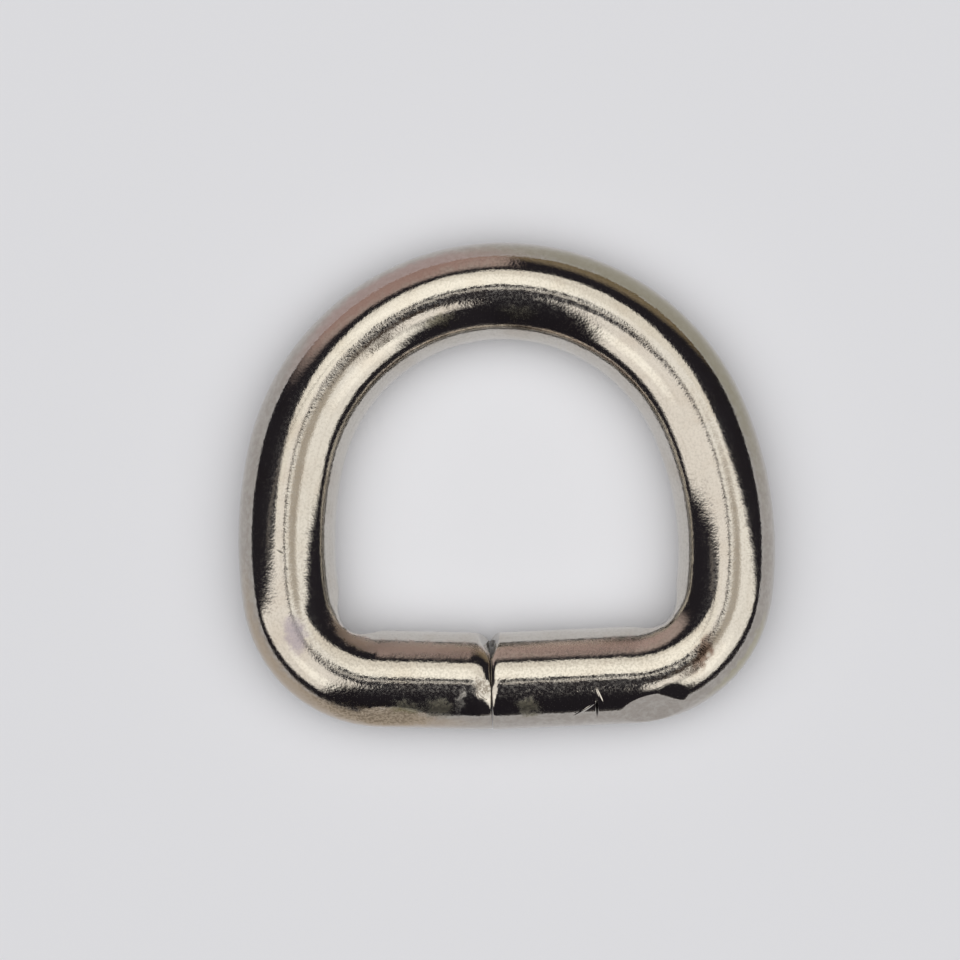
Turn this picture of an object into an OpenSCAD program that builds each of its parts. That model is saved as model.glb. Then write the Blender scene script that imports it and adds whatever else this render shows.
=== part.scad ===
// D ring bent from one length of round plated steel wire, lying flat.
// Bow, two flanks, two corners and a flat bar are one wire. Its two cut ends butt,
// unwelded, near the middle of the bar. The bow is along +Y and the bar along X.
// The origin is the middle of the ring's outline, on the surface that it lies on.

/* [Wire] */
// Diameter of the wire
wire_d = 4.5; // [3:0.1:5.5]
// Rounding of the edge of each cut end
end_round = 0.45; // [0.1:0.05:1]

/* [Eye] */
// Clear width of the eye at its widest, which takes the strap
eye_w = 15.9; // [13:0.1:19]
// Clear height of the eye, from under the bow to the bar at the gap
eye_h = 13.6; // [11.5:0.1:17]
// How far the top of the bow lies to the left of the middle of the eye
bow_shift = 0.18; // [0:0.02:0.6]

/* [Corners] */
// Bend radius of the corners, to the middle of the wire
corner_r = 4.4; // [3.6:0.1:5.4]
// How deep the square block that the wire was bent round pressed into the corners
block_dent = 0.5; // [0:0.05:1]
// How deep the press flattened the outside of the corners
press_dent = 0.34; // [0:0.02:0.7]

/* [Gap] */
// Space between the two cut ends
gap_w = 0.14; // [0.04:0.02:0.6]
// How far the gap lies to the left of the middle of the eye
gap_shift = 0.72; // [0:0.05:2.5]
// How far the cut leans from upright, in degrees
gap_lean = 2; // [0:0.5:6]

/* [Hidden] */

// Corners of the wire's section, and the most degrees of bend between two sections
section_n = 24;
turn_step = 6.5;
bar_n = 8;
end_n = 4;

// How far the block's dent spreads either way from the middle of a corner, in degrees
dent_spread = 45;

wire_r = wire_d / 2;
half_w = (eye_w + wire_d) / 2;
drop_h = eye_h + wire_d;
far = 10 * wire_d;

// The two sides of the D, which a hand-fed press never bends quite alike. Each is drawn
// as a right-hand side, from the top of the bow round to the cut.
// side: -1 left, 1 right. Angles are in degrees, turned from the top of the bow.
// bow: turn of the round of the bow. toe: how far the flank has turned in at its foot.
// dip: fall of the bar towards the gap. bend: share of corner_r.
// block, press: shares of block_dent and of press_dent.
// aim: where the pressed flat faces, from straight down. tip: its tilt up from level.
SIDES = [
    [-1, 77.9, 8.7, 1.3, 0.98, 1.08, 1.0, 6, 26],
    [ 1, 65.8, 7.0, 2.6, 1.02, 0.86, 0.7, 12, 33],
];
SIDE = 0;
BOW = 1;
TOE = 2;
DIP = 3;
BEND = 4;
BLOCK = 5;
PRESS = 6;
AIM = 7;
TIP = 8;

// Outward direction where the wire has turned by t, and the direction in which it runs on
function out(t) = [sin(t), cos(t)];
function ahead(t) = out(t + 90);

// Half width of a side, from the top of the bow to the middle of the flank's wire
function reach(s) = half_w + s[SIDE] * bow_shift;

// The cut, seen from the top of the bow
function cut(s) = [s[SIDE] * (bow_shift - gap_shift), -drop_h];

function bend_r(s) = s[BEND] * corner_r;

// Radii of the bow's and the flank's arcs, which carry the wire smoothly from the top of
// the bow to its widest point and on into the corner. Both sums are linear in the radii.
function arc_radii(s) =
    let (
        slope = tan(s[DIP]),
        run = reach(s) + bend_r(s) * (sin(s[DIP]) - cos(s[TOE])) - cut(s)[0],
        fall = drop_h - bend_r(s) * (cos(s[DIP]) - sin(s[TOE])) - run * slope,
        a = sin(s[BOW]),
        b = 1 - a,
        c = 1 - cos(s[BOW]),
        d = cos(s[BOW]) + sin(s[TOE]) + (cos(s[TOE]) - 1) * slope,
        det = a * d - b * c
    )
    [(reach(s) * d - b * fall) / det, (a * fall - c * reach(s)) / det];

// Centres of the three arcs, and where the straight half of the bar starts
function bow_centre(s) = [0, -arc_radii(s)[0]];
function flank_centre(s) =
    bow_centre(s) + (arc_radii(s)[0] - arc_radii(s)[1]) * out(s[BOW]);
function corner_centre(s) =
    flank_centre(s) + (arc_radii(s)[1] - bend_r(s)) * out(90 + s[TOE]);
function bar_start(s) = corner_centre(s) + bend_r(s) * out(180 - s[DIP]);
function bar_length(s) = norm(cut(s) - bar_start(s)) - gap_w / 2;

// A place along the wire: its middle, its turn, its radius there, and how far its section
// leans towards the plane of the cut, from 0 to 1
MIDDLE = 0;
TURN = 1;
ROD = 2;
LEAN = 3;

// Places along an arc, without its last one
function arc(centre, r, t0, t1) =
    let (n = ceil((t1 - t0) / turn_step))
    [for (i = [0:n - 1])
        let (t = t0 + (t1 - t0) * i / n)
        [centre + r * out(t), t, wire_r, 0]];

// Places along the straight half of the bar, and round the edge of its cut end
function bar(s) =
    let (
        t = 180 - s[DIP],
        straight = bar_length(s) - end_round
    )
    [
        for (i = [0:bar_n - 1])
            let (u = i / bar_n)
            [bar_start(s) + u * straight * ahead(t), t, wire_r, u],
        for (i = [0:end_n])
            let (a = 90 * i / end_n)
            [
                bar_start(s) + (straight + end_round * sin(a)) * ahead(t),
                t,
                wire_r - end_round * (1 - cos(a)),
                1,
            ],
    ];

function places(s) = [
    each arc(bow_centre(s), arc_radii(s)[0], 0, s[BOW]),
    each arc(flank_centre(s), arc_radii(s)[1], s[BOW], 90),
    each arc(flank_centre(s), arc_radii(s)[1], 90, 90 + s[TOE]),
    each arc(corner_centre(s), bend_r(s), 90 + s[TOE], 180 - s[DIP]),
    each bar(s),
];

// Depth of the block's dent where the wire has turned by t: full at the middle of the
// corner, and gone just past its ends
function block_depth(s, t) =
    let (
        middle = 135 + (s[TOE] - s[DIP]) / 2,
        u = max(-1, min(1, (t - middle) / dent_spread))
    )
    s[BLOCK] * block_dent * (1 + cos(180 * u)) / 2;

// How far the skin is from the wire's middle at angle q round the section, which is 0
// outward and 90 up: the round wire, less what the block and the press flattened
function skin(s, place, q) =
    let (
        inward = -cos(q),
        block = (wire_r - block_depth(s, place[TURN])) / max(inward, wire_r / far),
        down = out(180 - s[AIM]),
        flat_at = corner_centre(s) + bend_r(s) * down,
        away = cos(s[TIP]) * (flat_at - place[MIDDLE]) * down,
        facing = cos(s[TIP]) * cos(q) * (out(place[TURN]) * down) + sin(s[TIP]) * sin(q),
        press = (wire_r - s[PRESS] * press_dent + away) / max(facing, wire_r / far)
    )
    min(place[ROD], block, press);

// One section of the wire, in the frame of the whole ring
function section(s, place) =
    let (lean = tan((s[DIP] - s[SIDE] * gap_lean) * place[LEAN]))
    [for (k = [0:section_n - 1])
        let (
            q = 360 * k / section_n,
            r = skin(s, place, q),
            at = place[MIDDLE] + r * cos(q) * (out(place[TURN]) + lean * ahead(place[TURN]))
        )
        [
            s[SIDE] * at[0] - bow_shift,
            at[1] + drop_h / 2,
            r * sin(q) + wire_r,
        ]];

// The whole wire as one skin, from the left cut over the bow to the right cut
module d_ring() {
    left = places(SIDES[0]);
    right = places(SIDES[1]);
    sections = [
        for (i = [len(left) - 1:-1:1]) section(SIDES[0], left[i]),
        for (place = right) section(SIDES[1], place),
    ];
    last = (len(sections) - 1) * section_n;
    color("silver")
        polyhedron(
            points = [for (ring = sections) each ring],
            faces = [
                [for (k = [0:section_n - 1]) k],
                [for (k = [section_n - 1:-1:0]) last + k],
                for (i = [0:len(sections) - 2], k = [0:section_n - 1])
                    let (
                        next = (k + 1) % section_n,
                        a = i * section_n + k,
                        b = i * section_n + next,
                        c = b + section_n,
                        d = a + section_n
                    )
                    each [[a, d, c], [a, c, b]],
            ],
            convexity = 6
        );
}

d_ring();
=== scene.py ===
"""The looks of one nickel-plated wire D ring that lies flat on a pale sheet.

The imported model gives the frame: metres, +Z up, the bow of the D along +Y and its bar
along X. One fine wire, bent here by the same arcs as the solid, takes the solid's place.
"""

import logging
import math
from dataclasses import dataclass, field
from enum import Enum

import bmesh
import bpy
import numpy as np
from mathutils import Matrix, Vector


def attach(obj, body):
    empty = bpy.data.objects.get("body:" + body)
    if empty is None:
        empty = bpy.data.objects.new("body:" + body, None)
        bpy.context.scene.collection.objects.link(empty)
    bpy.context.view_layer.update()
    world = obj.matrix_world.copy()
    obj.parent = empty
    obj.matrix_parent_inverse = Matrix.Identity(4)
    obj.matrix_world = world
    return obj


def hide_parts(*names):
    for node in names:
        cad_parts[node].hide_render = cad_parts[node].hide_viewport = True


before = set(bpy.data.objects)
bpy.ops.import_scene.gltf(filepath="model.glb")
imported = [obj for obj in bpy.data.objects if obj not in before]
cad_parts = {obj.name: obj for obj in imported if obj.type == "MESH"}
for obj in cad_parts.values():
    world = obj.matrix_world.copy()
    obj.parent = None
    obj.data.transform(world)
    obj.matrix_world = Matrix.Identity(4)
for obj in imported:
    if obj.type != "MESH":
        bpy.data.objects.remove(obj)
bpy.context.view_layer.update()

log = logging.getLogger("d_ring")

# A millimetre in the frame's metres
MM = 0.001
BODY = "root"
NODE = "d_ring"
# The UV map that lays the wire out flat
UNROLLED = "unrolled"

Tree = bpy.types.NodeTree
Socket = bpy.types.NodeSocket

# Colours that come more than once, in the room and on the wire
DIM_ROOM = "#2b282d"
DARK_POST = "#262328"
DAYLIGHT = "#f8f2ea"
BRIGHT_SKY = "#fffbf2"
OLIVE = "#8a845c"
ROSY = "#dcc0b8"
HANDLED = "#8f8a84"


# Small helpers


def linear(code: str) -> tuple[float, float, float, float]:
    """Turns an sRGB hex colour to the linear colour that a shader takes.

    Args:
        code: The colour as "#RRGGBB".

    Returns:
        Linear red, green, blue and a full alpha.
    """
    parts = [int(code[i : i + 2], 16) / 255 for i in (1, 3, 5)]
    steps = [c / 12.92 if c <= 0.04045 else ((c + 0.055) / 1.055) ** 2.4 for c in parts]
    return (steps[0], steps[1], steps[2], 1.0)


def per_mm(size: float) -> float:
    """Returns the scale of a pattern whose features are size mm, on coordinates in m."""
    return 1 / (size * MM)


def add_node(
    tree: Tree,
    kind: str,
    inputs: dict[str | int, object] | None = None,
    **settings: object,
) -> bpy.types.Node:
    """Adds a node with its settings, and fills its sockets with values or links.

    Args:
        tree: The node tree that gets the node.
        kind: The node's type name in Blender.
        inputs: A value or an output socket for each named input.
        **settings: The node's own properties.

    Returns:
        The new node.
    """
    node = tree.nodes.new(kind)
    for name, value in settings.items():
        setattr(node, name, value)
    for name, value in (inputs or {}).items():
        if isinstance(value, Socket):
            tree.links.new(value, node.inputs[name])
        else:
            node.inputs[name].default_value = value
    return node


def new_tree(material: bpy.types.Material | bpy.types.World) -> Tree:
    """Empties the node tree of a material or a world.

    Args:
        material: The material or the world.

    Returns:
        Its node tree, with no node in it.
    """
    material.use_nodes = True
    material.node_tree.nodes.clear()
    return material.node_tree


def deselect() -> None:
    """Leaves nothing selected, so that the next operator acts on its own piece alone."""
    if bpy.context.object and bpy.context.object.mode != "OBJECT":
        bpy.ops.object.mode_set(mode="OBJECT")
    bpy.ops.object.select_all(action="DESELECT")


def pick(obj: bpy.types.Object) -> None:
    """Makes one object the only one that is selected, and the active one.

    Args:
        obj: The object.
    """
    deselect()
    obj.select_set(True)
    bpy.context.view_layer.objects.active = obj


def settle(obj: bpy.types.Object) -> None:
    """Puts the place of obj into its mesh, so that its object is at the origin."""
    pick(obj)
    bpy.ops.object.transform_apply(location=True, rotation=True, scale=True)


def apply_modifiers(obj: bpy.types.Object) -> None:
    """Applies every modifier of an object, in order.

    Args:
        obj: The object.
    """
    pick(obj)
    for name in [m.name for m in obj.modifiers]:
        bpy.ops.object.modifier_apply(modifier=name)


def points(obj: bpy.types.Object) -> np.ndarray:
    """Reads where the vertices of an object are.

    Args:
        obj: The object.

    Returns:
        Their places in metres, one row each.
    """
    places = np.empty(len(obj.data.vertices) * 3, np.float64)
    obj.data.vertices.foreach_get("co", places)
    return places.reshape(-1, 3)


def discard(*objs: bpy.types.Object) -> None:
    """Deletes tools that have done their forming."""
    for obj in objs:
        bpy.data.objects.remove(obj)


# The surroundings


@dataclass(frozen=True)
class Cap:
    """Part of the sky within a reach of a pole, in degrees. A reach of 90 is a straight edge.

    tilt is the pole's angle from straight up, azimuth its direction from +X towards +Y, and
    soft how far the edge is blurred either way.
    """

    tilt: float
    azimuth: float
    reach: float
    soft: float = 2.5

    def pole(self) -> Vector:
        """Works out where the pole is.

        Returns:
            The unit vector towards the middle of the cap.
        """
        tilt, azimuth = math.radians(self.tilt), math.radians(self.azimuth)
        return Vector((
            math.sin(tilt) * math.cos(azimuth),
            math.sin(tilt) * math.sin(azimuth),
            math.cos(tilt),
        ))


def right_of(azimuth: float, soft: float = 2.5) -> Cap:
    """Returns the half of the sky with azimuths just above the given one."""
    return Cap(90, azimuth + 90, 90, soft)


def left_of(azimuth: float, soft: float = 2.5) -> Cap:
    """Returns the half of the sky with azimuths just below the given one."""
    return Cap(90, azimuth - 90, 90, soft)


@dataclass(frozen=True)
class Shade:
    """Something that stands round the ring: where all its caps meet, in one colour.

    A strength over 1 shines brighter than white card.
    """

    name: str
    colour: str
    strength: float
    caps: tuple[Cap, ...]


@dataclass(frozen=True)
class Surroundings:
    """Soft daylight from windows of a dim room, as the polished wire mirrors it.

    The wire mirrors the windows and the room. The sheet that it lies on takes the same
    light blurred into an even dome. The dome is dark up to dome_foot, the sine of a height,
    and reaches its strength overhead. A dome_stretch under 1 widens it along X.
    """

    room: str = DIM_ROOM
    dome: str = "#ffffff"
    dome_strength: float = 2.78
    dome_foot: float = 0.75
    dome_stretch: float = 0.6
    backdrop: str = "#dbdbde"
    # Each shade lies over the ones before it. A cap gives its tilt, azimuth, reach and soft
    # edge, worked out from where the wire mirrors it.
    shades: tuple[Shade, ...] = (
        Shade("pale wall low down", "#c9c4bd", 1.0, (Cap(173, 270, 84, 7),)),
        Shade("olive wall", "#978871", 1.0, (
            Cap(101, 64, 29, 8),
            left_of(89, 1.5),
        )),
        Shade("rosy wall", "#b8a7a0", 1.12, (
            Cap(80, 110, 33, 9),
            Cap(180, 0, 124, 5),
            right_of(88, 1.5),
        )),
        Shade("window ahead", "#f8f2e6", 1.25, (Cap(18, 87, 28.5, 1.5),)),
        Shade("window on the left", DAYLIGHT, 1.3, (
            Cap(20.6, 70.6, 90, 3),
            left_of(262, 3),
            Cap(84.4, 284, 90, 2),
        )),
        Shade("window on the right", "#f8f4ec", 1.35, (
            Cap(18.7, 126.6, 90, 3),
            Cap(73.7, 258.7, 90, 2.0),
            right_of(-57, 3),
        )),
        Shade("strip of light", DAYLIGHT, 1.4, (
            right_of(-78, 2),
            left_of(-57, 2),
            Cap(0, 0, 36, 4),
        )),
        Shade("bright of the window ahead", "#fffbf0", 1.6, (Cap(21, 108, 11, 9),)),
        Shade("bright of the left window", BRIGHT_SKY, 1.6, (Cap(43, 230, 6, 9),)),
        Shade("bright of the right window", BRIGHT_SKY, 1.6, (Cap(47, 312, 8, 10),)),
        Shade("window bar on the left", "#9c948c", 1.0, (
            Cap(76, 285, 90, 0.8),
            Cap(104, 105, 91.4, 0.8),
            Cap(24, 200, 22, 3),
        )),
        Shade("veil at the far window", "#cdc3b4", 1.0, (Cap(19, 345, 9, 4),)),
        Shade("lamp shade by the post", "#453a32", 1.0, (
            Cap(11, 304, 8.6, 2.5),
            left_of(322, 3),
        )),
        Shade("window bar on the right", "#4a3a2e", 1.0, (
            right_of(304, 1.2),
            left_of(310, 1.2),
            Cap(21, 308, 19, 2.5),
        )),
        Shade("post between the windows", DARK_POST, 1.0, (
            Cap(95.3, 327.4, 90, 2.5),
            Cap(87.5, 183.5, 90, 2),
        )),
        Shade("post high up", DARK_POST, 1.0, (
            Cap(85.4, 2, 90, 0.8),
            Cap(84.8, 182, 90, 0.8),
            Cap(14.8, 268, 12.8, 0.5),
        )),
        Shade("shelf beside the post", DIM_ROOM, 1.0, (
            Cap(6.2, 242, 5.4, 1.5),
            right_of(227, 1.5),
        )),
        Shade("dark spot overhead", DIM_ROOM, 1.0, (
            Cap(5.5, 84, 4.3, 1),
            right_of(58, 1.5),
        )),
        Shade("light between the post and the spot", "#857c70", 1.0, (
            Cap(87.3, 0, 90, 0.7),
            Cap(87.1, 180, 90, 0.7),
            Cap(0.2, 270, 1.1, 0.6),
        )),
    )

    def build(self) -> None:
        """Makes the world and gives it to the scene."""
        world = bpy.data.worlds.new("dim room with windows")
        tree = new_tree(world)
        ray = add_node(tree, "ShaderNodeTexCoord").outputs["Generated"]
        seen = self._seen(tree, ray)
        dome = self._dome(tree, ray)
        path = add_node(tree, "ShaderNodeLightPath")
        # Each kind of ray has a background of its own, so that the many shades are worked
        # out for the mirrored rays alone.
        light = add_node(tree, "ShaderNodeBackground", {"Color": dome}).outputs[0]
        for kind, colour in (
            ("Is Glossy Ray", seen),
            ("Is Camera Ray", linear(self.backdrop)),
        ):
            other = add_node(tree, "ShaderNodeBackground", {"Color": colour}).outputs[0]
            light = add_node(
                tree, "ShaderNodeMixShader", {0: path.outputs[kind], 1: light, 2: other}
            ).outputs[0]
        add_node(tree, "ShaderNodeOutputWorld", {"Surface": light})
        bpy.context.scene.world = world
        log.info("surroundings: %d shades round the ring", len(self.shades))

    def _seen(self, tree: Tree, ray: Socket) -> Socket:
        """Paints what the wire mirrors, one shade over another.

        Args:
            tree: The world's nodes.
            ray: The direction of the ray.

        Returns:
            The colour socket.
        """
        colour: object = linear(self.room)
        for shade in self.shades:
            cover: object = None
            for cap in shade.caps:
                facing = add_node(
                    tree, "ShaderNodeVectorMath", {0: ray, 1: cap.pole()}, operation="DOT_PRODUCT"
                ).outputs["Value"]
                edge = add_node(
                    tree,
                    "ShaderNodeMapRange",
                    {
                        "Value": facing,
                        "From Min": math.cos(math.radians(cap.reach + cap.soft)),
                        "From Max": math.cos(math.radians(max(cap.reach - cap.soft, 0))),
                    },
                    interpolation_type="SMOOTHSTEP",
                ).outputs["Result"]
                cover = edge if cover is None else add_node(
                    tree, "ShaderNodeMath", {0: cover, 1: edge}, operation="MULTIPLY"
                ).outputs[0]
            tint = [c * shade.strength for c in linear(shade.colour)[:3]] + [1.0]
            colour = add_node(
                tree,
                "ShaderNodeMix",
                {0: cover, 6: colour, 7: tint},
                data_type="RGBA",
                label=shade.name,
            ).outputs[2]
        return colour

    def _dome(self, tree: Tree, ray: Socket) -> Socket:
        """Makes the soft light that the sheet takes, most of it from high up.

        Args:
            tree: The world's nodes.
            ray: The direction of the ray.

        Returns:
            The colour socket.
        """
        drawn_out = add_node(
            tree,
            "ShaderNodeVectorMath",
            {0: ray, 1: (self.dome_stretch, 1.0, 1.0)},
            operation="MULTIPLY",
        ).outputs[0]
        evened = add_node(
            tree, "ShaderNodeVectorMath", {0: drawn_out}, operation="NORMALIZE"
        ).outputs[0]
        height = add_node(tree, "ShaderNodeSeparateXYZ", {0: evened}).outputs["Z"]
        rise = add_node(
            tree, "ShaderNodeMapRange", {"Value": height, "From Min": self.dome_foot}
        ).outputs["Result"]
        full = [c * self.dome_strength for c in linear(self.dome)[:3]]
        return add_node(
            tree, "ShaderNodeVectorMath", {0: full, "Scale": rise}, operation="SCALE"
        ).outputs["Vector"]


# The sheet and the camera


@dataclass(frozen=True)
class Card:
    """Smooth matt card: an even pale tone with no gloss, on which soft shadows show."""

    colour: str = "#e9e9ec"
    roughness: float = 0.9

    def build(self) -> bpy.types.Material:
        """Makes the material.

        Returns:
            The material.
        """
        # Smooth matt card gives the eye one even pale tone, with no gloss
        material = bpy.data.materials.new("smooth matt card")
        tree = new_tree(material)
        shader = add_node(
            tree,
            "ShaderNodeBsdfPrincipled",
            {
                "Base Color": linear(self.colour),
                "Roughness": self.roughness,
                "Specular IOR Level": 0.0,
            },
        )
        add_node(tree, "ShaderNodeOutputMaterial", {"Surface": shader.outputs[0]})
        return material


@dataclass
class Sheet:
    """The pale sheet of card that the ring lies on, with its width in m."""

    width: float = 3.0
    finish: Card = Card()

    def build(self) -> bpy.types.Object:
        """Returns:
            The sheet.
        """
        deselect()
        bpy.ops.mesh.primitive_plane_add(size=self.width, location=(0, 0, 0))
        sheet = bpy.context.object
        sheet.name = "pale_sheet"
        sheet.data.materials.append(self.finish.build())
        log.info("sheet: %.1f m square", self.width)
        return sheet


@dataclass
class Viewpoint:
    """A camera over the ring that looks straight down, as the photograph does.

    It frames a width of across, round a middle at aim_x and aim_y, all in m. The sensor is
    in mm.
    """

    distance: float = 0.25
    across: float = 44.54 * MM
    aim_x: float = -1.24 * MM
    aim_y: float = 0.28 * MM
    sensor: float = 36.0

    def build(self, level: float) -> None:
        """Makes the camera.

        Args:
            level: Height of the plane that the framed width is measured in.
        """
        data = bpy.data.cameras.new("overhead")
        data.sensor_width = self.sensor
        data.lens = self.sensor * self.distance / self.across
        data.dof.use_dof = False
        camera = bpy.data.objects.new("overhead", data)
        camera.location = (self.aim_x, self.aim_y, level + self.distance)
        bpy.context.scene.collection.objects.link(camera)
        bpy.context.scene.camera = camera
        log.info("camera: %.0f mm lens, straight down", data.lens)


# The metal


@dataclass(frozen=True)
class Spot:
    """A stained, dull or scored spot: an ellipse on the unrolled wire. A few spots' colour is
    painted shade or a painted reflection.

    along is in mm from the top of the bow to the right, around in degrees from the top of
    the wire outward, length and width in mm, and turn in degrees from the wire's run. Its
    edge fades over soft, a share of its radius. cover is the share of the metal that its
    colour hides, and dull what it adds to the roughness. depth and grit raise it, in mm, all
    over and in specks.
    """

    name: str
    along: float
    around: float
    length: float
    width: float
    turn: float = 0.0
    soft: float = 0.5
    colour: str = "#808080"
    cover: float = 0.0
    dull: float = 0.0
    depth: float = 0.0
    grit: float = 0.0
    speckled: bool = False
    ragged: bool = True


@dataclass(frozen=True)
class NickelPlate:
    """Steel wire, bright nickel plated after bending, and handled since.

    The plating mirrors the room, a little warm. Its grain breaks the edges of what it
    mirrors. It is darker and warmer low on the outside, and dull and tan where the press
    rubbed it.
    Sizes are in mm. drawn_ratio is the width of a line of the die as a share of its length,
    and the edges of stains are shaken by shaken in waves of shake.
    """

    wire_r: float
    metal: str = "#c9c5be"
    stained: str = "#b9b0a4"
    # The darker tone of the die's lines and of the low outside of the wire
    darker_tone: str = "#aca59d"
    worn: str = "#8a857e"
    # The plating's real grain and specks and the lines of the die are finer than a pixel of
    # the render, which is 0.05 mm, so the three are drawn as coarse as they need to show.
    grain: float = 0.1
    grain_depth: float = 0.0034
    stain: float = 1.6
    mottle: float = 0.3
    speck: float = 0.12
    ripple: float = 0.5
    ripple_depth: float = 0.006
    drawn: float = 0.16
    drawn_depth: float = 0.0008
    drawn_ratio: float = 0.06
    shake: float = 0.35
    shaken: float = 0.9
    # After its name, a spot gives its along, around, length, width, turn and soft, and then
    # its colour, cover, dull and depth.
    spots: tuple[Spot, ...] = (
        Spot("rosy bow", -4.6, 46, 9.5, 1.3, colour="#b8948c", cover=0.5),
        Spot("olive shoulder", 7.0, 56, 14.0, 1.4, colour="#9a9478", cover=0.6),
        Spot("green corner", 21.8, 66, 3.0, 0.8, colour="#b0aa86", cover=0.5),
        Spot("tan rim", -24.5, 60, 10.0, 1.3, colour="#b8a285", cover=0.6, dull=0.1),
        Spot("tan jaw mark", -26.2, 50, 4.2, 1.3, 0, 0.3, "#b9a890", 0.8, 0.2, grit=0.016),
        Spot("brown jaw mark", -26.0, 48, 4.4, 1.4, 0, 0.5, "#6c5c4a", 0.5, speckled=True),
        Spot("olive patch", -28.7, 32, 1.4, 0.9, colour=OLIVE, cover=0.5, dull=0.24),
        Spot("olive patch beside it", -27.2, 34, 1.4, 0.8, colour=OLIVE, cover=0.5, dull=0.24),
        Spot("grey streak", -29.7, 25, 0.4, 1.1, dull=0.2),
        Spot("olive patch by the cut", 30.8, 32, 1.1, 0.9, colour=OLIVE, cover=0.5, dull=0.24),
        Spot("rosy bar", -26.5, -42, 9.0, 0.9, colour=ROSY, cover=0.5, dull=0.3),
        Spot("rosy bar by the cut", 28.0, -42, 9.0, 0.9, colour=ROSY, cover=0.4, dull=0.2),
        Spot("handled bar", -25.5, -12, 9.0, 1.5, 0, 0.5, HANDLED, 0.2, speckled=True),
        Spot("handled bar by the cut", 27.5, -12, 9.0, 1.5, 0, 0.5, HANDLED, 0.2, speckled=True),
        Spot("olive crown", 0.8, -29, 1.8, 0.8, colour=OLIVE, cover=0.4, dull=0.12),
        Spot("olive under the bow", -3.2, -26, 1.6, 0.6, colour=OLIVE, cover=0.5, dull=0.1),
        Spot("smudge", -21.5, 7, 0.9, 1.5, 70, 0.6, "#8a8090", 0.6, 0.12),
        # The brown notch's dark brown is a painted reflection on the pressed corner.
        Spot("brown notch", 22.6, 9, 1.6, 0.6, 25, 0.6, "#6b5040", 0.8),
        Spot("pitted end", -30.7, 6, 0.9, 0.8, 0, 0.3, "#7a6e60", 0.6, 0.1, speckled=True),
        # Over the nick's shallow dent, its near-black colour is painted shade.
        Spot("nick", 27.65, 38, 1.0, 0.12, 90, 0.4, "#1a1816", 0.9, 0.1, -0.015, ragged=False),
        Spot("scratch", 28.2, 39, 0.95, 0.08, 37, 0.95, depth=0.022, ragged=False),
        Spot("burr", 27.5, 22, 0.6, 0.07, -69, 0.95, depth=0.018, ragged=False),
        # Over the pit's shallow dent, its dark colour is painted shade.
        Spot("pit", -17.7, 5.5, 0.35, 0.1, 60, 0.7, "#3a3632", 0.8, 0.0, -0.012, ragged=False),
    )

    def build(self) -> bpy.types.Material:
        """Makes the material.

        Returns:
            The material.
        """
        # Bright nickel on drawn steel gives the eye a slightly warm mirror, with a fine grain
        material = bpy.data.materials.new("bright nickel-plated steel")
        tree = new_tree(material)
        place = add_node(tree, "ShaderNodeTexCoord").outputs["Object"]
        wire = add_node(tree, "ShaderNodeUVMap", uv_map=UNROLLED).outputs[0]
        stain, mottle, grain, speck, ripple = (
            add_node(
                tree,
                "ShaderNodeTexNoise",
                {"Vector": place, "Scale": per_mm(size), "Detail": detail},
            ).outputs["Fac"]
            for size, detail in (
                (self.stain, 5.0),
                (self.mottle, 4.0),
                (self.grain, 2.0),
                (self.speck, 4.0),
                (self.ripple, 1.0),
            )
        )
        drawn = self._drawn(tree, wire)
        # Between low and high, each noise takes its share from least to most
        stained, streaked, worn, broken, rough = (
            add_node(
                tree,
                "ShaderNodeMapRange",
                {
                    "Value": value,
                    "From Min": low,
                    "From Max": high,
                    "To Min": least,
                    "To Max": most,
                },
                interpolation_type="SMOOTHSTEP",
            ).outputs["Result"]
            for value, low, high, least, most in (
                (stain, 0.45, 0.75, 0.0, 0.5),
                (drawn, 0.35, 0.75, 0.0, 0.2),
                (speck, 0.4, 0.7, 0.0, 0.22),
                (speck, 0.44, 0.58, 0.0, 1.0),
                (speck, 0.4, 0.7, 0.05, 0.15),
            )
        )
        covers = [
            (stained, 1.0, self.stained),
            (streaked, 1.0, self.darker_tone),
            # Darker and warmer where the wire faces low and outward
            (self._low_outside(tree, place, mottle), 1.0, self.darker_tone),
            (worn, 1.0, self.worn),
        ]
        dulled: list[tuple[Socket, float]] = []
        raised = [
            (grain, self.grain_depth),
            (ripple, self.ripple_depth),
            (drawn, self.drawn_depth),
        ]
        ragged = self._ragged(tree, place, wire)
        for spot in self.spots:
            mask = self._mask(tree, ragged if spot.ragged else wire, spot)
            speckled, gritty = (
                add_node(
                    tree, "ShaderNodeMath", {0: mask, 1: share}, operation="MULTIPLY"
                ).outputs[0]
                for share in (broken, speck)
            )
            covers.append((speckled if spot.speckled else mask, spot.cover, spot.colour))
            dulled.append((mask, spot.dull))
            raised += [(mask, spot.depth), (gritty, spot.grit)]
        bumps = add_node(
            tree,
            "ShaderNodeBump",
            {"Strength": 1.0, "Distance": MM, "Height": self._total(tree, 0.0, raised)},
        )
        shader = add_node(
            tree,
            "ShaderNodeBsdfPrincipled",
            {
                "Base Color": self._covered(tree, covers),
                "Metallic": 1.0,
                "Roughness": self._total(tree, rough, dulled),
                "Normal": bumps.outputs[0],
            },
        )
        add_node(tree, "ShaderNodeOutputMaterial", {"Surface": shader.outputs[0]})
        return material

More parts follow.
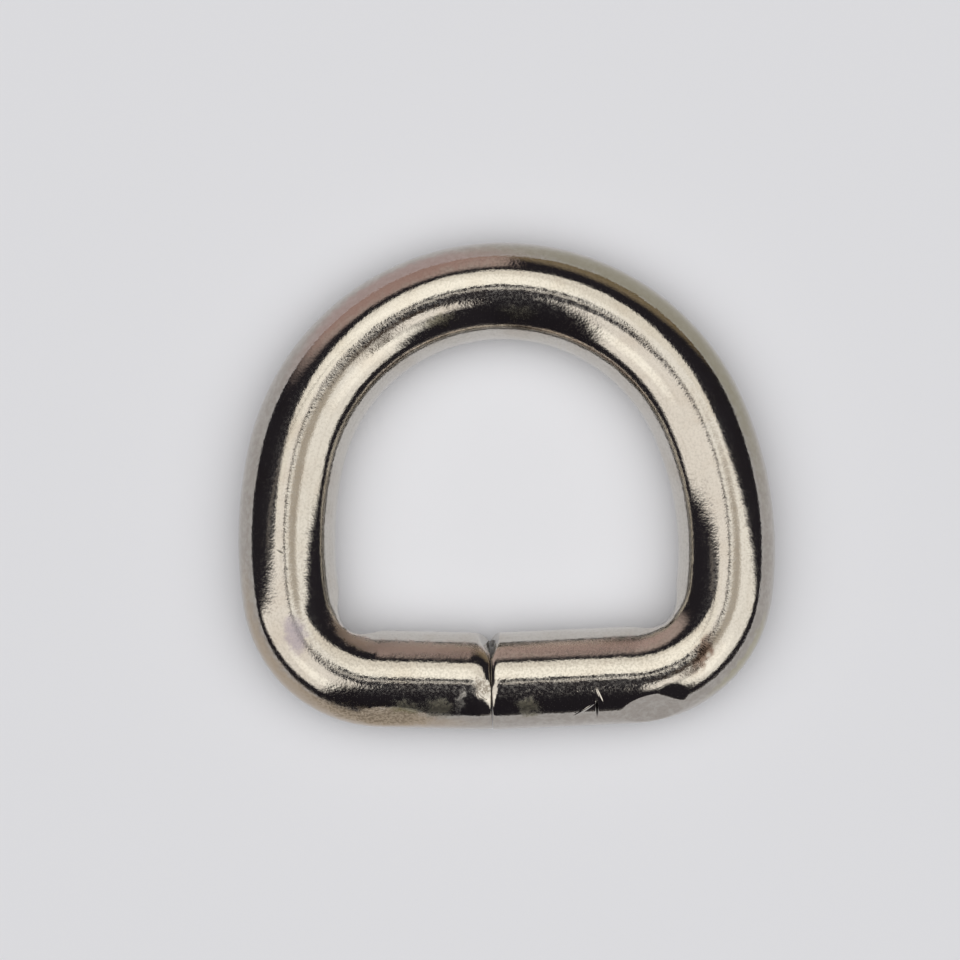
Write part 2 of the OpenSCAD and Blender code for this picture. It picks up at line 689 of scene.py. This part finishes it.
    def _covered(self, tree: Tree, covers: list[tuple[Socket, float, str]]) -> Socket:
        """Lays stains over the bare metal, one on another, with the painted shade and painted
        reflection of a few spots.

        Args:
            tree: The material's nodes.
            covers: The mask, the share and the colour of each stain or painted mark.

        Returns:
            The colour's socket.
        """
        colour: object = linear(self.metal)
        for mask, share, stain in covers:
            if not share:
                continue
            cover = add_node(
                tree, "ShaderNodeMath", {0: mask, 1: share}, operation="MULTIPLY"
            ).outputs[0]
            colour = add_node(
                tree, "ShaderNodeMix", {0: cover, 6: colour, 7: linear(stain)}, data_type="RGBA"
            ).outputs[2]
        return colour

    def _total(self, tree: Tree, base: object, parts: list[tuple[Socket, float]]) -> Socket:
        """Adds up a base and the parts that spots and patterns give.

        Args:
            tree: The material's nodes.
            base: The value where no part counts.
            parts: Each part's pattern and its amount.

        Returns:
            The sum's socket.
        """
        total = base
        for pattern, amount in parts:
            if amount:
                total = add_node(
                    tree, "ShaderNodeMath", {0: pattern, 1: amount, 2: total},
                    operation="MULTIPLY_ADD",
                ).outputs[0]
        return total

    def _low_outside(self, tree: Tree, place: Socket, mottle: Socket) -> Socket:
        """Masks the low outside of the wire, which is coloured darker and warmer.

        Args:
            tree: The material's nodes.
            place: The place on the ring.
            mottle: The noise that mottles the mask.

        Returns:
            The mask's socket.
        """
        normal = add_node(tree, "ShaderNodeNewGeometry").outputs["Normal"]
        outward = add_node(
            tree, "ShaderNodeVectorMath", {0: place, 1: normal}, operation="DOT_PRODUCT"
        ).outputs["Value"]
        upward = add_node(tree, "ShaderNodeSeparateXYZ", {0: normal}).outputs["Z"]
        mask: object = 1.0
        # It faces away from the middle of the ring and well away from straight up, and the
        # noise thins it. Each share is least at low and whole at high.
        for value, low, high, least in (
            (outward, 0.0, 2 * MM, 0.0),
            (upward, 0.78, 0.66, 0.0),
            (mottle, 0.35, 0.6, 0.6),
        ):
            share = add_node(
                tree,
                "ShaderNodeMapRange",
                {"Value": value, "From Min": low, "From Max": high, "To Min": least},
                interpolation_type="SMOOTHSTEP",
            ).outputs["Result"]
            mask = add_node(
                tree, "ShaderNodeMath", {0: mask, 1: share}, operation="MULTIPLY"
            ).outputs[0]
        return mask

    def _mask(self, tree: Tree, wire: Socket, spot: Spot) -> Socket:
        """Masks one spot.

        Args:
            tree: The material's nodes.
            wire: The place on the unrolled wire.
            spot: The spot.

        Returns:
            The mask's socket.
        """
        inside = add_node(
            tree,
            "ShaderNodeMapping",
            {
                "Vector": wire,
                "Location": (spot.along, math.radians(spot.around) * self.wire_r, 0),
                "Rotation": (0, 0, math.radians(spot.turn)),
                "Scale": (spot.length / 2, spot.width / 2, 1),
            },
            vector_type="TEXTURE",
            label=spot.name,
        ).outputs[0]
        far = add_node(
            tree, "ShaderNodeVectorMath", {0: inside}, operation="LENGTH"
        ).outputs["Value"]
        return add_node(
            tree,
            "ShaderNodeMapRange",
            {"Value": far, "From Min": 1 + spot.soft, "From Max": 1 - spot.soft},
            interpolation_type="SMOOTHSTEP",
        ).outputs["Result"]

    def _drawn(self, tree: Tree, wire: Socket) -> Socket:
        """Adds the faint lines that the drawing die left along the wire.

        Args:
            tree: The material's nodes.
            wire: The place on the unrolled wire.

        Returns:
            The socket of the lines' noise.
        """
        lines = add_node(
            tree,
            "ShaderNodeVectorMath",
            {0: wire, 1: (self.drawn_ratio / self.drawn, 1 / self.drawn, 1.0)},
            operation="MULTIPLY",
        ).outputs[0]
        return add_node(
            tree, "ShaderNodeTexNoise", {"Vector": lines, "Scale": 1.0, "Detail": 2.0}
        ).outputs["Fac"]

    def _ragged(self, tree: Tree, place: Socket, wire: Socket) -> Socket:
        """Shakes the unrolled place a little, so that a stain's edge is ragged.

        Args:
            tree: The material's nodes.
            place: The place on the ring.
            wire: The place on the unrolled wire.

        Returns:
            The socket of the shaken place.
        """
        shake = add_node(
            tree,
            "ShaderNodeTexNoise",
            {"Vector": place, "Scale": per_mm(self.shake), "Detail": 3.0},
        ).outputs["Color"]
        centred = add_node(
            tree, "ShaderNodeVectorMath", {0: shake, 1: (0.5, 0.5, 0.5)}, operation="SUBTRACT"
        ).outputs[0]
        return add_node(
            tree,
            "ShaderNodeVectorMath",
            {0: centred, 1: (self.shaken, self.shaken, 0.0), 2: wire},
            operation="MULTIPLY_ADD",
        ).outputs[0]


# The ring


class Side(Enum):
    """A side of the D, as the sign of its x."""

    LEFT = -1
    RIGHT = 1


def out(turn: float) -> Vector:
    """Returns the outward direction where the wire has turned by turn degrees."""
    return Vector((math.sin(math.radians(turn)), math.cos(math.radians(turn))))


@dataclass(frozen=True)
class Bending:
    """How one side came round the block, in degrees and shares, and its cut end in mm.

    bow is the turn of the bow, toe how far the flank turns in at its foot, and dip the fall
    of the bar towards the gap. bend and block are shares of the corner's radius and of the
    block's dent. The shear drew the last taper of the wire in by drop, more inside the eye.
    """

    side: Side
    bow: float
    toe: float
    dip: float
    bend: float
    block: float
    taper: float
    drop: float


@dataclass(frozen=True)
class Mark:
    """Where a jaw or a shear pressed the wire, in mm and degrees.

    along runs from the cut, around from the top of the wire outward, and reach is how far
    past the wire's radius the mark goes. lean is how far the tool's face looks towards the
    cut, bulge the radius that it is rounded to, and grit its roughness at a spacing.
    """

    name: str
    side: Side
    along: float
    around: float
    depth: float
    reach: float
    lean: float = 0.0
    bulge: float = 60.0
    grit: float = 0.0
    spacing: float = 0.3


@dataclass(frozen=True)
class Route:
    """The middle of the wire on one side, in mm, as a right-hand side from its top."""

    bending: Bending
    bow_r: float
    flank_r: float
    bend_r: float
    bow_centre: Vector
    flank_centre: Vector
    corner_centre: Vector
    bar_start: Vector
    bar_length: float

    @property
    def sign(self) -> int:
        """Returns -1 on the left side and 1 on the right."""
        return self.bending.side.value


@dataclass
class DRing:
    """The ring: one length of wire bent to a D, its two cut ends butted in the bar.

    Sizes are in mm, and turns and leans in degrees. A cut end is drawn in about a point that
    is end_hold of the wire's radius out from its middle, and bending rolled the top of the
    section outward by roll. Tools are tool_span wire diameters across.
    """

    wire_d: float = 4.5
    end_hold: float = 0.7
    roll: float = 0.08
    eye_w: float = 15.9
    eye_h: float = 13.6
    bow_shift: float = 0.18
    corner_r: float = 4.4
    block_dent: float = 0.5
    gap_w: float = 0.02
    gap_shift: float = 0.72
    gap_lean: float = 2.0
    dent_spread: float = 45.0
    sides: int = 120
    ring_step: float = 0.085
    corner_step: float = 0.07
    end_rings: int = 8
    tool_span: float = 3.0
    block_sides: int = 360
    face_cuts: int = 200
    crease: float = 40.0
    left: Bending = Bending(
        Side.LEFT, bow=77.9, toe=8.7, dip=1.3, bend=0.98, block=1.08, taper=0.9, drop=0.2
    )
    right: Bending = Bending(
        Side.RIGHT, bow=65.8, toe=7.0, dip=2.6, bend=1.02, block=0.86, taper=0.3, drop=0.11
    )
    # After its side, a mark gives its along, around, depth and reach
    marks: tuple[Mark, ...] = (
        Mark("left jaw", Side.LEFT, 4.7, 51, 0.1, 3.0, bulge=15, grit=0.03, spacing=0.2),
        Mark("right jaw", Side.RIGHT, 7.2, 50, 0.215, 3.0, bulge=9, grit=0.02, spacing=0.8),
        Mark("heel of the right jaw", Side.RIGHT, 7.85, 35, 0.07, 2.0, bulge=4),
        Mark("left shear", Side.LEFT, 0, -75, 0.52, 1.5, lean=45, bulge=6),
        Mark("right shear", Side.RIGHT, 0, -75, 0.42, 1.5, lean=60, bulge=8),
        Mark("left burr", Side.LEFT, 0, 4, 0.15, 0.8, lean=14, grit=0.02, spacing=0.2),
    )
    wire_r: float = field(init=False)
    half_w: float = field(init=False)
    drop_h: float = field(init=False)
    finish: NickelPlate = field(init=False)

    def __post_init__(self) -> None:
        """Works out the sizes that follow from the rest."""
        self.wire_r = self.wire_d / 2
        self.half_w = (self.eye_w + self.wire_d) / 2
        self.drop_h = self.eye_h + self.wire_d
        self.finish = NickelPlate(self.wire_r)

    def route(self, bent: Bending) -> Route:
        """Solves the arcs that carry the wire from the top of the bow to the cut.

        Args:
            bent: How that side was bent.

        Returns:
            The side's radii and centres.
        """
        sign = bent.side.value
        reach = self.half_w + sign * self.bow_shift
        cut = Vector((sign * (self.bow_shift - self.gap_shift), -self.drop_h))
        bend_r = bent.bend * self.corner_r
        bow, toe, dip = (math.radians(v) for v in (bent.bow, bent.toe, bent.dip))
        run = reach + bend_r * (math.sin(dip) - math.cos(toe)) - cut.x
        fall = self.drop_h - bend_r * (math.cos(dip) - math.sin(toe)) - run * math.tan(dip)
        # How far the bow and the flank carry the wire across and down, for each mm of their
        # radii. The two sums that meet reach and fall are linear in the radii.
        across_bow, across_flank = math.sin(bow), 1 - math.sin(bow)
        down_bow = 1 - math.cos(bow)
        down_flank = math.cos(bow) + math.sin(toe) + (math.cos(toe) - 1) * math.tan(dip)
        cross = across_bow * down_flank - across_flank * down_bow
        bow_r = (reach * down_flank - across_flank * fall) / cross
        flank_r = (across_bow * fall - down_bow * reach) / cross
        bow_centre = Vector((0, -bow_r))
        flank_centre = bow_centre + (bow_r - flank_r) * out(bent.bow)
        corner_centre = flank_centre + (flank_r - bend_r) * out(90 + bent.toe)
        bar_start = corner_centre + bend_r * out(180 - bent.dip)
        return Route(
            bending=bent,
            bow_r=bow_r,
            flank_r=flank_r,
            bend_r=bend_r,
            bow_centre=bow_centre,
            flank_centre=flank_centre,
            corner_centre=corner_centre,
            bar_start=bar_start,
            bar_length=(cut - bar_start).length - self.gap_w / 2,
        )

    def place(self, route: Route, at: Vector) -> Vector:
        """Turns a place on a side, seen from above, to a place in the frame.

        Args:
            route: The side.
            at: The place in mm, from the top of the bow.

        Returns:
            The place in metres, at the height of the middle of the wire.
        """
        return Vector((
            route.sign * at.x - self.bow_shift,
            at.y + self.drop_h / 2,
            self.wire_r,
        )) * MM

    def heading(self, route: Route, along: Vector) -> Vector:
        """Returns a direction on a side, seen from above, in the frame."""
        return Vector((route.sign * along.x, along.y, 0))

    def _bend_half(self, route: Route) -> bpy.types.Object:
        """Bends one half of the wire, from its cut end round to the top of the bow.

        Args:
            route: The side's arcs.

        Returns:
            The half, open at both ends.
        """
        bent = route.bending
        away = -out(270 - bent.dip)
        face = math.radians(bent.dip - route.sign * self.gap_lean)
        first = self.heading(route, away + math.tan(face) * out(180 - bent.dip))
        start = route.bar_start - away * route.bar_length
        deselect()
        bpy.ops.mesh.primitive_circle_add(
            vertices=self.sides,
            radius=(self.wire_r - bent.drop) * MM,
            location=self.place(route, start + self.end_hold * bent.drop * out(180 - bent.dip)),
            rotation=(0, math.pi / 2, math.atan2(first.y, first.x)),
            enter_editmode=True,
        )
        self._roll_section(route)
        self._round_end(route, start, away)
        self._draw_bar(route, away, face)
        for centre, radius, turn, step in (
            (route.corner_centre, route.bend_r, 90 - bent.dip - bent.toe, self.corner_step),
            (route.flank_centre, route.flank_r, bent.toe + 90 - bent.bow, self.ring_step),
            (route.bow_centre, route.bow_r, bent.bow, self.ring_step),
        ):
            self._spin(route, centre, radius, turn, step)
        bpy.ops.object.mode_set(mode="OBJECT")
        half = bpy.context.object
        settle(half)
        self._unroll(half, route)
        return half

    def _round_end(self, route: Route, start: Vector, away: Vector) -> None:
        """Draws the cut end out of its face, up to where the wire is full.

        Args:
            route: The side.
            start: The middle of the cut end.
            away: The direction from the cut into the wire.
        """
        bent = route.bending
        held = self.end_hold * self.wire_r * out(180 - bent.dip)
        before, radius = 0.0, self.wire_r - bent.drop
        for i in range(1, self.end_rings + 1):
            angle = math.radians(90 * i / self.end_rings)
            depth = bent.taper * (1 - math.cos(angle))
            wide = self.wire_r - bent.drop * (1 - math.sin(angle))
            step = self.heading(route, away) * (depth - before) * MM
            bpy.ops.mesh.extrude_region_move(TRANSFORM_OT_translate={"value": step})
            bpy.ops.transform.resize(
                value=(wide / radius,) * 3,
                center_override=self.place(route, start + away * depth + held),
            )
            before, radius = depth, wide

    def _roll_section(self, route: Route) -> None:
        """Rolls the top of the section outward a little, as bending does to a wire.

        Args:
            route: The side.
        """
        bent = route.bending
        mesh = bmesh.from_edit_mesh(bpy.context.object.data)
        top = max(mesh.verts, key=lambda v: (bpy.context.object.matrix_world @ v.co).z)
        bpy.ops.mesh.select_all(action="DESELECT")
        top.select = True
        mesh.select_flush(True)
        bpy.ops.transform.translate(
            value=self.heading(route, out(180 - bent.dip)) * self.roll * MM,
            use_proportional_edit=True,
            proportional_edit_falloff="SMOOTH",
            proportional_size=math.sqrt(2) * self.wire_r * MM,
        )
        bpy.ops.mesh.select_all(action="SELECT")

    def _draw_bar(self, route: Route, away: Vector, face: float) -> None:
        """Draws the straight half of the bar, whose sections come upright along it.

        Args:
            route: The side.
            away: The direction from the cut into the wire.
            face: The lean of the cut end, in radians.
        """
        length = route.bar_length - route.bending.taper
        upright = self.place(route, route.bar_start)
        bpy.ops.mesh.extrude_region_move(
            TRANSFORM_OT_translate={"value": self.heading(route, away) * length * MM}
        )
        bpy.ops.transform.rotate(
            value=-route.sign * face, orient_axis="Z", center_override=upright
        )
        # The long edges are cut into even steps, and the last section stays selected
        mesh = bmesh.from_edit_mesh(bpy.context.object.data)
        for edge in mesh.edges:
            edge.select = edge.calc_length() > length * MM / 2
        bpy.ops.mesh.subdivide(number_cuts=round(length / self.ring_step) - 1)
        bpy.ops.mesh.select_all(action="DESELECT")
        to_world = bpy.context.object.matrix_world
        ahead = self.heading(route, away)
        for vertex in mesh.verts:
            vertex.select = (to_world @ vertex.co - upright).dot(ahead) > -self.ring_step * MM / 4
        mesh.select_flush(True)

    def _spin(
        self, route: Route, centre: Vector, radius: float, turn: float, step: float
    ) -> None:
        """Bends the next stretch of wire round a centre.

        Args:
            route: The side.
            centre: The middle of the bend, in mm.
            radius: The radius to the middle of the wire, in mm.
            turn: How far it bends, in degrees.
            step: The spacing of the sections, in mm.
        """
        bpy.ops.mesh.spin(
            steps=round(math.radians(turn) * radius / step),
            angle=math.radians(turn),
            center=self.place(route, centre),
            axis=(0, 0, -route.sign),
        )

    def _block(self, route: Route) -> bpy.types.Object:
        """Makes one rounded corner of the block that the wire was bent round.

        Args:
            route: The side.

        Returns:
            The block's corner, as a tool.
        """
        bent = route.bending
        middle = 135 + (bent.toe - bent.dip) / 2
        inner = route.bend_r - self.wire_r
        centre = self.place(route, route.corner_centre)
        deselect()
        bpy.ops.mesh.primitive_cylinder_add(
            vertices=self.block_sides,
            radius=inner * MM,
            depth=self.tool_span * self.wire_d * MM,
            location=centre,
        )
        block = bpy.context.object
        settle(block)
        for vertex in block.data.vertices:
            from_centre = vertex.co - centre
            turn = math.degrees(math.atan2(from_centre.x * route.sign, from_centre.y)) % 360
            off_middle = max(-1.0, min(1.0, (turn - middle) / self.dent_spread))
            dent = bent.block * self.block_dent * (1 + math.cos(math.pi * off_middle)) / 2
            grow = (inner + dent) / inner
            vertex.co.x = centre.x + from_centre.x * grow
            vertex.co.y = centre.y + from_centre.y * grow
        return block

    def _middle(self, route: Route, along: float) -> tuple[Vector, Vector]:
        """Finds a place on the middle of the wire.

        Args:
            route: The side.
            along: How far it is from the cut, in mm.

        Returns:
            The place, and the outward direction there, both seen from above in mm.
        """
        bent = route.bending
        rest = along - route.bar_length
        if rest <= 0:
            ahead = out(270 - bent.dip)
            return route.bar_start + ahead * -rest, out(180 - bent.dip)
        turn = 180 - bent.dip - math.degrees(rest / route.bend_r)
        return route.corner_centre + route.bend_r * out(turn), out(turn)

    def _face(self, route: Route, mark: Mark) -> bpy.types.Object:
        """Makes the face of the tool that left a mark.

        Args:
            route: The side.
            mark: The mark.

        Returns:
            The face, looking at the wire.
        """
        middle, outward = self._middle(route, mark.along)
        around, lean = math.radians(mark.around), math.radians(mark.lean)
        skin = self.heading(route, outward) * math.sin(around)
        skin.z = math.cos(around)
        cutward = self.heading(route, Vector((outward.y, -outward.x)))
        normal = skin * math.cos(lean) + cutward * math.sin(lean)
        deselect()
        bpy.ops.mesh.primitive_grid_add(
            x_subdivisions=self.face_cuts,
            y_subdivisions=self.face_cuts,
            size=self.tool_span * self.wire_d * MM,
            location=(0, 0, 0),
        )
        face = bpy.context.object
        for vertex in face.data.vertices:
            vertex.co.z = -vertex.co.x ** 2 / (2 * mark.bulge * MM)
        if mark.grit:
            pattern = bpy.data.textures.new(mark.name, "CLOUDS")
            pattern.noise_scale = mark.spacing * MM
            pattern.noise_depth = 2
            bumps = face.modifiers.new("grit", "DISPLACE")
            bumps.texture = pattern
            bumps.strength = mark.grit * MM
            apply_modifiers(face)
        along = (cutward - cutward.dot(normal) * normal).normalized()
        turn = Matrix((along, along.cross(normal), -normal)).transposed()
        face.rotation_euler = turn.to_euler()
        pressed = skin * self.wire_r - normal * mark.depth
        face.location = self.place(route, middle) + pressed * MM
        settle(face)
        return face

    def _form(
        self, ring: bpy.types.Object, tool: bpy.types.Object, near: Vector, reach: float
    ) -> np.ndarray:
        """Presses a tool into the wire.

        Args:
            ring: The wire.
            tool: The tool, whose faces point at the wire.
            near: The middle of the place that it reaches, in metres.
            reach: How far it reaches, in mm.

        Returns:
            How far each vertex moved, in mm.
        """
        before = points(ring)
        within = np.linalg.norm(before - np.array(near), axis=1) < reach * MM
        group = ring.vertex_groups.new(name="pressed")
        group.add(np.nonzero(within)[0].tolist(), 1.0, "REPLACE")
        wrap = ring.modifiers.new("press", "SHRINKWRAP")
        wrap.vertex_group = group.name
        wrap.target = tool
        wrap.wrap_method = "NEAREST_SURFACEPOINT"
        wrap.wrap_mode = "OUTSIDE"
        apply_modifiers(ring)
        ring.vertex_groups.clear()
        discard(tool)
        return np.linalg.norm(points(ring) - before, axis=1) / MM

    def _press(self, ring: bpy.types.Object, route: Route, mark: Mark) -> None:
        """Leaves one mark on the wire.

        Args:
            ring: The wire, or one half of it.
            route: The side that the mark is on.
            mark: The mark.
        """
        middle = self.place(route, self._middle(route, mark.along)[0])
        moved = self._form(ring, self._face(route, mark), middle, mark.reach + self.wire_r)
        log.info("%s: %.2f mm deep", mark.name, moved.max())

    def _shape_end(self, routes: dict[Side, Route], halves: list[bpy.types.Object]) -> None:
        """Leaves the marks of the shear on the cut ends, each half by itself.

        Args:
            routes: The route of each side.
            halves: The two halves, in the same order.
        """
        for (side, route), half in zip(routes.items(), halves):
            for mark in self.marks:
                if mark.lean and mark.side is side:
                    self._press(half, route, mark)

    def build(self) -> bpy.types.Object:
        """Bends and presses the wire, and closes its cut ends.

        Returns:
            The ring.
        """
        routes = {bent.side: self.route(bent) for bent in (self.left, self.right)}
        halves = [self._bend_half(route) for route in routes.values()]
        self._shape_end(routes, halves)
        pick(halves[0])
        halves[1].select_set(True)
        bpy.ops.object.join()
        ring = bpy.context.object
        ring.name = "plated_wire"
        bpy.ops.object.mode_set(mode="EDIT")
        bpy.ops.mesh.select_all(action="SELECT")
        bpy.ops.mesh.remove_doubles(threshold=self.ring_step * MM / 20)
        bpy.ops.mesh.fill_holes(sides=0)
        bpy.ops.mesh.select_all(action="SELECT")
        bpy.ops.mesh.normals_make_consistent(inside=False)
        bpy.ops.object.mode_set(mode="OBJECT")
        for side, route in routes.items():
            corner = self.place(route, route.corner_centre)
            dented = self._form(ring, self._block(route), corner, 2 * self.corner_r)
            log.info("%s corner: block %.2f mm deep", side.name.lower(), dented.max())
        for mark in self.marks:
            if not mark.lean:
                self._press(ring, routes[mark.side], mark)
        pick(ring)
        bpy.ops.object.shade_smooth_by_angle(angle=math.radians(self.crease))
        return ring

    def _along(self, route: Route, at: np.ndarray) -> tuple[np.ndarray, np.ndarray]:
        """Finds places on one side by how the wire runs.

        Args:
            route: The side.
            at: The places seen from above in mm, from the top of the bow, one row each.

        Returns:
            How far each is along from the top of the bow, and outward of the middle, in mm.
        """
        bent = route.bending
        along, outward = np.zeros(len(at)), np.zeros(len(at))
        free = np.ones(len(at), bool)
        start = 0.0
        # The slack, in degrees, takes in what lies just across the top of the bow
        slack = 10.0
        for centre, radius, first, last in (
            (route.bow_centre, route.bow_r, 0, bent.bow),
            (route.flank_centre, route.flank_r, bent.bow, 90 + bent.toe),
            (route.corner_centre, route.bend_r, 90 + bent.toe, 180 - bent.dip),
        ):
            off = at - np.array(centre)
            turn = np.degrees(np.arctan2(off[:, 0], off[:, 1]))
            here = free & (turn > first - slack) & (turn <= last)
            along[here] = start + radius * np.radians(turn[here] - first)
            outward[here] = np.linalg.norm(off[here], axis=1) - radius
            free &= ~here
            start += radius * math.radians(last - first)
        off = at - np.array(route.bar_start)
        along[free] = start + (off @ np.array(out(270 - bent.dip)))[free]
        outward[free] = (off @ np.array(out(180 - bent.dip)))[free]
        return along, outward

    def _unroll(self, half: bpy.types.Object, route: Route) -> None:
        """Lays the wire out flat as a UV map in mm: along it, and around it from its top.

        Args:
            half: One half of the wire.
            route: Its side.
        """
        mesh = half.data
        at = points(half) / MM
        across = (at[:, 0] + self.bow_shift) * route.sign
        seen = np.stack([across, at[:, 1] - self.drop_h / 2], axis=1)
        run, outward = self._along(route, seen)
        along = run * route.sign
        around = np.degrees(np.arctan2(outward, at[:, 2] - self.wire_r))
        corners = np.empty(len(mesh.loops), np.int32)
        mesh.loops.foreach_get("vertex_index", corners)
        starts = np.empty(len(mesh.polygons), np.int32)
        mesh.polygons.foreach_get("loop_start", starts)
        counts = np.empty(len(mesh.polygons), np.int32)
        mesh.polygons.foreach_get("loop_total", counts)
        # A face that spans the underside has its turns carried on past 180 degrees
        turn = around[corners]
        spread = np.maximum.reduceat(turn, starts) - np.minimum.reduceat(turn, starts)
        turn[np.repeat(spread > 180, counts) & (turn < 0)] += 360
        flat = np.stack([along[corners], np.radians(turn) * self.wire_r], axis=1)
        layer = mesh.uv_layers.new(name=UNROLLED)
        layer.data.foreach_set("uv", flat.ravel())

    def dress(self, ring: bpy.types.Object) -> None:
        """Gives the wire its finish and its body, and hides the solid that it stands for.

        Args:
            ring: The wire.
        """
        ring.data.materials.clear()
        ring.data.materials.append(self.finish.build())
        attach(ring, BODY)
        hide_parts(NODE)


def main() -> None:
    """Builds the ring, its sheet, the light and the camera, in that order."""
    logging.basicConfig(level=logging.INFO, format="%(name)s: %(message)s")
    bpy.context.scene.view_settings.view_transform = "Standard"
    d_ring = DRing()
    wire = d_ring.build()
    d_ring.dress(wire)
    log.info("wire: %d faces", len(wire.data.polygons))
    Sheet().build()
    Surroundings().build()
    Viewpoint().build(d_ring.wire_r * MM)


if __name__ == "__main__":
    main()
